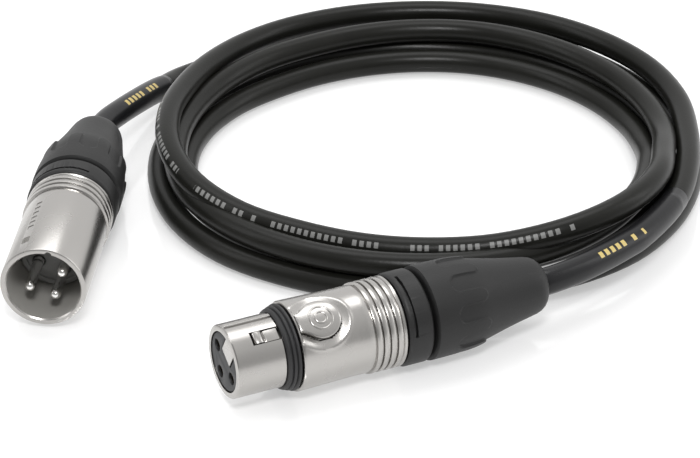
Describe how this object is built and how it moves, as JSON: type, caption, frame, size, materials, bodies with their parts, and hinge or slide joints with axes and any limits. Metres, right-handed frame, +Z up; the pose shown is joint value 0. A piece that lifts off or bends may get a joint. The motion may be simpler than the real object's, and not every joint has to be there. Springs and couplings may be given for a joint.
{
  "type": "coiled microphone cable",
  "caption": "Round microphone cable wound into a flat coil, with a latching socket connector on one end and a pin connector on the other, each with a screwed boot.",
  "frame": {"origin": "on the surface the cable lies on, under the middle of the box round the two connectors", "axes": "+Z up from the surface; +Y along the pin connector from its open front to its boot, away from the viewer; +X to the right, from the pin connector towards the socket connector"},
  "size_m": [0.1525, 0.1822, 0.022],
  "materials": {
    "shell": "satin nickel plate on a zinc casting",
    "latch_metal": "satin nickel plate on a zinc casting",
    "contact": "gold plate on turned brass",
    "pin": "silver plate on turned brass",
    "spring_steel": "plain bright steel",
    "insulator": "fine matt moulding",
    "collar_plastic": "satin moulding",
    "inner_plastic": "satin moulding",
    "boot_rubber": "matt soft moulding",
    "gasket_rubber": "matt soft moulding",
    "cable_jacket": "satin flexible jacket",
    "shrink_sleeve": "smooth shrunk tubing",
    "core_1": "plain extruded insulation",
    "core_2": "plain extruded insulation",
    "core_3": "plain extruded insulation"
  },
  "bodies": {
    "cable": {"socket_shell": "shell", "socket_insert": "insulator", "socket_contact_1": "contact", "socket_contact_2": "contact", "socket_contact_3": "contact", "nose_gasket": "gasket_rubber", "latch_pin": "spring_steel", "latch_spring": "spring_steel", "socket_collar": "collar_plastic", "socket_chuck": "inner_plastic", "socket_cable_end": "cable_jacket", "socket_core_1": "core_1", "socket_core_2": "core_2", "socket_core_3": "core_3", "plug_shell": "shell", "plug_insert": "insulator", "plug_pin_1": "pin", "plug_pin_2": "pin", "plug_pin_3": "pin", "plug_collar": "collar_plastic", "plug_chuck": "inner_plastic", "plug_cable_end": "cable_jacket", "plug_core_1": "core_1", "plug_core_2": "core_2", "plug_core_3": "core_3", "cable_coil": "cable_jacket", "socket_lead_sleeve": "shrink_sleeve", "plug_lead_sleeve": "shrink_sleeve", "plug_lead": "cable_jacket"},
    "latch": {"latch_lever": "latch_metal"},
    "socket_nut": {"socket_gland_nut": "inner_plastic"},
    "socket_boot": {"socket_boot": "boot_rubber"},
    "plug_nut": {"plug_gland_nut": "inner_plastic"},
    "plug_boot": {"plug_boot": "boot_rubber"}
  },
  "joints": [
    {"name": "latch_press", "type": "hinge", "parent": "cable", "child": "latch", "pos_m": [0.01857, -0.03425, 0.0161], "axis": [0.4406, -0.7246, -0.5299], "range_deg": [0, 4], "stiffness_Nm_per_rad": 0.2, "springref_deg": -2.86, "deforming": ["latch_spring"]},
    {"name": "socket_nut_slide", "type": "slide", "parent": "cable", "child": "socket_nut", "axis": [0.8545, 0.5195, 0], "range_m": [0, 0.004]},
    {"name": "socket_boot_turn", "type": "hinge", "parent": "socket_nut", "child": "socket_boot", "pos_m": [0.02778, -0.02437, 0.01025], "axis": [0.8545, 0.5195, 0], "range_deg": [0, 1441]},
    {"name": "plug_nut_slide", "type": "slide", "parent": "cable", "child": "plug_nut", "axis": [0, 1, 0], "range_m": [0, 0.004]},
    {"name": "plug_boot_turn", "type": "hinge", "parent": "plug_nut", "child": "plug_boot", "pos_m": [-0.0494, 0.01715, 0.01025], "axis": [0, 1, 0], "range_deg": [0, 1441]}
  ],
  "couplings": [
    {"joint": "socket_boot_turn", "follows": "socket_nut_slide", "rad_per_m": 6283.2},
    {"joint": "plug_boot_turn", "follows": "plug_nut_slide", "rad_per_m": 6283.2}
  ]
}
